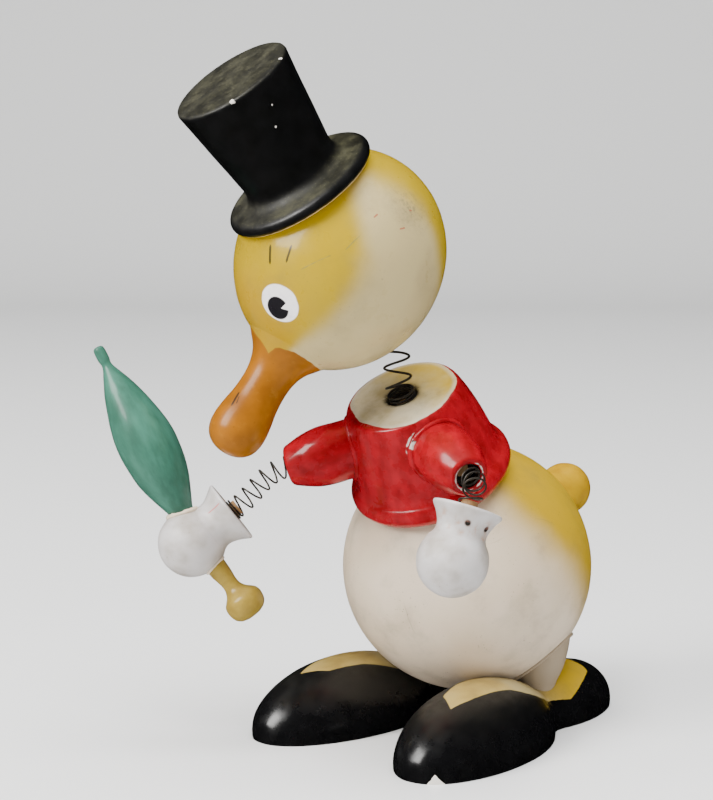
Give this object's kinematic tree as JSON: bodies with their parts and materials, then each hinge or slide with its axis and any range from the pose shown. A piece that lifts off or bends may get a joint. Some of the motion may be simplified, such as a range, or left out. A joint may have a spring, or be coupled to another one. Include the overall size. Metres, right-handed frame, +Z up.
{
  "type": "spring bobble figure",
  "caption": "Painted turned-wood chick figure with top hat and umbrella; head and hands ride on coil springs and bob when the figure is nudged.",
  "frame": {"origin": "on the floor plane, under the middle of the figure's bounding box", "axes": "+Z up; the figure's shoes and chest face -Y; its left side is +X"},
  "size_m": [0.1022, 0.1253, 0.1621],
  "materials": {
    "cream_paint": "aged cream lacquer on wood",
    "red_paint": "gloss red lacquer on wood",
    "bare_wood": "unfinished turned wood",
    "yellow_paint": "aged yellow lacquer on wood",
    "black_paint": "gloss black lacquer on wood",
    "spring_steel": "dark drawn wire",
    "green_paint": "gloss green lacquer on wood"
  },
  "bodies": {
    "torso": {"belly": "cream_paint", "chest": "red_paint", "waist_dowel": "bare_wood", "tail_knob": "yellow_paint", "tail_dowel": "bare_wood", "left_sleeve": "red_paint", "left_sleeve_dowel": "bare_wood", "left_sleeve_plug": "bare_wood", "right_sleeve": "red_paint", "right_sleeve_dowel": "bare_wood", "right_sleeve_plug": "bare_wood", "neck_lower_plug": "bare_wood", "left_shoe": "black_paint", "left_leg": "cream_paint", "left_leg_dowel": "bare_wood", "right_shoe": "black_paint", "right_leg": "cream_paint", "right_leg_dowel": "bare_wood"},
    "neck_coil": {"neck_spring": "spring_steel"},
    "head": {"head": "yellow_paint", "hat": "black_paint", "hat_dowel": "bare_wood", "neck_upper_plug": "bare_wood"},
    "left_arm_coil": {"left_arm_spring": "spring_steel"},
    "left_hand": {"left_glove": "cream_paint", "left_cuff_plug": "bare_wood", "left_cuff_brad_1": "spring_steel", "left_cuff_brad_2": "spring_steel"},
    "right_arm_coil": {"right_arm_spring": "spring_steel"},
    "right_hand": {"right_glove": "cream_paint", "right_cuff_plug": "bare_wood", "umbrella_canopy": "green_paint", "umbrella_dowel": "bare_wood", "umbrella_handle": "yellow_paint"}
  },
  "joints": [
    {"name": "head_nod", "type": "hinge", "parent": "torso", "child": "neck_coil", "pos_m": [0.01143, -0.01084, 0.08575], "axis": [1, 0, 0], "range_deg": [-20, 20], "stiffness_Nm_per_rad": 0.09, "springref_deg": -5.17, "deforming": ["neck_spring"]},
    {"name": "head_sway", "type": "hinge", "parent": "neck_coil", "child": "head", "pos_m": [0.01071, -0.01163, 0.09087], "axis": [0, 0.9798, 0.2], "range_deg": [-18, 18], "stiffness_Nm_per_rad": 0.09, "springref_deg": 1.72, "deforming": ["neck_spring"]},
    {"name": "left_arm_lift", "type": "hinge", "parent": "torso", "child": "left_arm_coil", "pos_m": [0.04057, -0.0201, 0.066], "axis": [0.4332, 0.9013, 0], "range_deg": [-16, 16], "stiffness_Nm_per_rad": 0.004, "springref_deg": -1.44, "deforming": ["left_arm_spring"]},
    {"name": "left_arm_swing", "type": "hinge", "parent": "left_arm_coil", "child": "left_hand", "pos_m": [0.04337, -0.0248, 0.0645], "axis": [0.9013, -0.4332, 0], "range_deg": [-18, 18], "stiffness_Nm_per_rad": 0.004, "springref_deg": -1.09, "deforming": ["left_arm_spring"]},
    {"name": "right_arm_lift", "type": "hinge", "parent": "torso", "child": "right_arm_coil", "pos_m": [-0.01543, -0.0249, 0.063], "axis": [-0.5839, 0.8118, 0], "range_deg": [-18, 18], "stiffness_Nm_per_rad": 0.006, "springref_deg": 8.51, "deforming": ["right_arm_spring"]},
    {"name": "right_arm_swing", "type": "hinge", "parent": "right_arm_coil", "child": "right_hand", "pos_m": [-0.01953, -0.0292, 0.057], "axis": [0, 0, 1], "range_deg": [-18, 18], "stiffness_Nm_per_rad": 0.006, "deforming": ["right_arm_spring"]}
  ]
}
